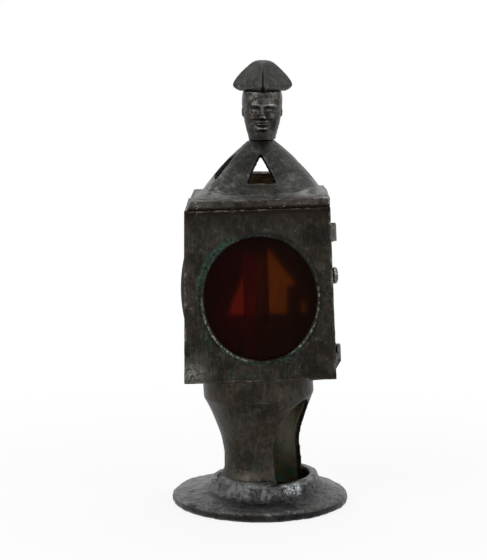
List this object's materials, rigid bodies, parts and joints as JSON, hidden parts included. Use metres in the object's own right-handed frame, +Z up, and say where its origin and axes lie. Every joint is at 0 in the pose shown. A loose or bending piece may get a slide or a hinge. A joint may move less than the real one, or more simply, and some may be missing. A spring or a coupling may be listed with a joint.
{
  "type": "table lantern",
  "caption": "Free-standing patinated bronze candle lantern with round foot, arched tubular stem, leaning glazed box with side door, vented tent roof and hatted head finial.",
  "frame": {"origin": "centre of the foot disc's underside, on the table", "axes": "+Z up, -Y towards the front window, +X towards the hinged door"},
  "size_m": [0.16, 0.16, 0.4008],
  "materials": {
    "foot_bronze": "patinated cast bronze, grey-black with a light sheen",
    "stem_bronze": "patinated cast bronze, brown-black",
    "box_bronze": "patinated cast bronze, warm brown-black, verdigris at the window",
    "roof_bronze": "patinated cast bronze, cool grey-green",
    "finial_bronze": "patinated cast bronze, grey-black, worn on its edges",
    "raw_bronze": "bare oxidised bronze, olive brown",
    "hinge_bronze": "patinated bronze, worn",
    "knob_bronze": "bronze worn light by handling",
    "red_glass": "deep red sheet glass",
    "amber_glass": "deep amber sheet glass",
    "violet_glass": "violet sheet glass",
    "smoke_glass": "dark smoke-brown pressed glass",
    "honey_glass": "honey-brown pressed glass",
    "wax": "unlit wax, slightly translucent",
    "wick": "charred cotton wick"
  },
  "bodies": {
    "body": {"foot": "foot_bronze", "stem": "stem_bronze", "box_floor": "raw_bronze", "front_wall": "box_bronze", "rear_wall": "box_bronze", "left_wall": "box_bronze", "right_frame": "box_bronze", "roof_plate": "roof_bronze", "roof_hood": "roof_bronze", "head": "finial_bronze", "hat": "finial_bronze", "red_pane": "red_glass", "amber_pane": "amber_glass", "seam_strip": "violet_glass", "pane_clips": "raw_bronze", "left_lens": "smoke_glass", "left_lens_clips": "raw_bronze", "upper_hinge_leaf": "hinge_bronze", "lower_hinge_bracket": "hinge_bronze", "hinge_pins": "hinge_bronze", "frame_rivets": "hinge_bronze", "candle_cup": "raw_bronze", "cup_nut": "raw_bronze"},
    "door": {"door_panel": "box_bronze", "door_lens": "honey_glass", "door_lens_clips": "raw_bronze", "hinge_eyes": "hinge_bronze", "door_rivets": "hinge_bronze"},
    "latch": {"latch_knob": "knob_bronze", "latch_tongue": "raw_bronze", "latch_nut": "raw_bronze"},
    "candle": {"candle": "wax", "wick": "wick"}
  },
  "joints": [
    {"name": "door_hinge", "type": "hinge", "parent": "body", "child": "door", "pos_m": [0.06585, -0.046, 0.19991], "axis": [0.0436, 0, -0.999], "range_deg": [0, 160]},
    {"name": "latch_turn", "type": "hinge", "parent": "door", "child": "latch", "pos_m": [0.06312, 0.035, 0.2028], "axis": [0.999, 0, 0.0436], "range_deg": [0, 90]},
    {"name": "candle_lift", "type": "slide", "parent": "body", "child": "candle", "axis": [-0.0332, 0, 0.9995], "range_m": [0, 0.05]}
  ]
}
